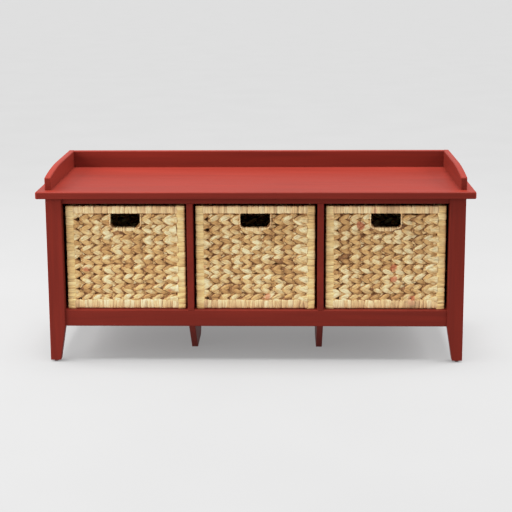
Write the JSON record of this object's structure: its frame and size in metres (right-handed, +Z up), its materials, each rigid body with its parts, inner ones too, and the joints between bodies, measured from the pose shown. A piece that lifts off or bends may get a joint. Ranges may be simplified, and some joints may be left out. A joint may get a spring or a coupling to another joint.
{
  "type": "storage bench",
  "caption": "Painted storage bench with tapered legs, a low curved gallery round the seat, and woven pull-out baskets in open bays under it.",
  "frame": {"origin": "on the floor under the middle of the seat, at the bottom centre of the bounding box", "axes": "+X along the bench to the right seen from the front, +Y from the front to the back, +Z up"},
  "size_m": [1.092, 0.404, 0.4865],
  "materials": {
    "red_paint": "satin paint",
    "dowel_wood": "bare",
    "steel": "zinc plated",
    "glide": "matt",
    "hyacinth_braid": "dry plaited stalk",
    "hyacinth_wrap": "dry wrapped stalk"
  },
  "bodies": {
    "bench": {"seat_top": "red_paint", "gallery_back": "red_paint", "gallery_end_left": "red_paint", "gallery_end_right": "red_paint", "front_leg_left": "red_paint", "front_leg_right": "red_paint", "back_leg_left": "red_paint", "back_leg_right": "red_paint", "side_panel_left": "red_paint", "side_panel_right": "red_paint", "front_bottom_rail": "red_paint", "front_top_rail": "red_paint", "back_bottom_rail": "red_paint", "back_top_rail": "red_paint", "shelf": "red_paint", "back_panel": "red_paint", "divider_left": "red_paint", "divider_right": "red_paint", "centre_foot_left": "red_paint", "centre_foot_right": "red_paint", "leg_glides": "glide", "rail_dowels": "dowel_wood", "side_panel_dowels": "dowel_wood", "shelf_dowels": "dowel_wood", "divider_dowels": "dowel_wood", "centre_foot_dowels": "dowel_wood", "gallery_screws": "steel", "seat_screws": "steel", "back_panel_screws": "steel"},
    "basket_left": {"basket_left_wire_frame": "steel", "basket_left_corner_posts": "hyacinth_wrap", "basket_left_top_rim": "hyacinth_wrap", "basket_left_bottom_rim": "hyacinth_wrap", "basket_left_front_weave": "hyacinth_braid", "basket_left_handle_binding": "hyacinth_wrap", "basket_left_back_weave": "hyacinth_braid", "basket_left_side_weaves": "hyacinth_braid", "basket_left_base_weave": "hyacinth_braid"},
    "basket_centre": {"basket_centre_wire_frame": "steel", "basket_centre_corner_posts": "hyacinth_wrap", "basket_centre_top_rim": "hyacinth_wrap", "basket_centre_bottom_rim": "hyacinth_wrap", "basket_centre_front_weave": "hyacinth_braid", "basket_centre_handle_binding": "hyacinth_wrap", "basket_centre_back_weave": "hyacinth_braid", "basket_centre_side_weaves": "hyacinth_braid", "basket_centre_base_weave": "hyacinth_braid"},
    "basket_right": {"basket_right_wire_frame": "steel", "basket_right_corner_posts": "hyacinth_wrap", "basket_right_top_rim": "hyacinth_wrap", "basket_right_bottom_rim": "hyacinth_wrap", "basket_right_front_weave": "hyacinth_braid", "basket_right_handle_binding": "hyacinth_wrap", "basket_right_back_weave": "hyacinth_braid", "basket_right_side_weaves": "hyacinth_braid", "basket_right_base_weave": "hyacinth_braid"}
  },
  "joints": [
    {"name": "basket_left_slide", "type": "slide", "parent": "bench", "child": "basket_left", "axis": [0, -1, 0], "range_m": [0, 0.4]},
    {"name": "basket_centre_slide", "type": "slide", "parent": "bench", "child": "basket_centre", "axis": [0, -1, 0], "range_m": [0, 0.4]},
    {"name": "basket_right_slide", "type": "slide", "parent": "bench", "child": "basket_right", "axis": [0, -1, 0], "range_m": [0, 0.4]}
  ]
}
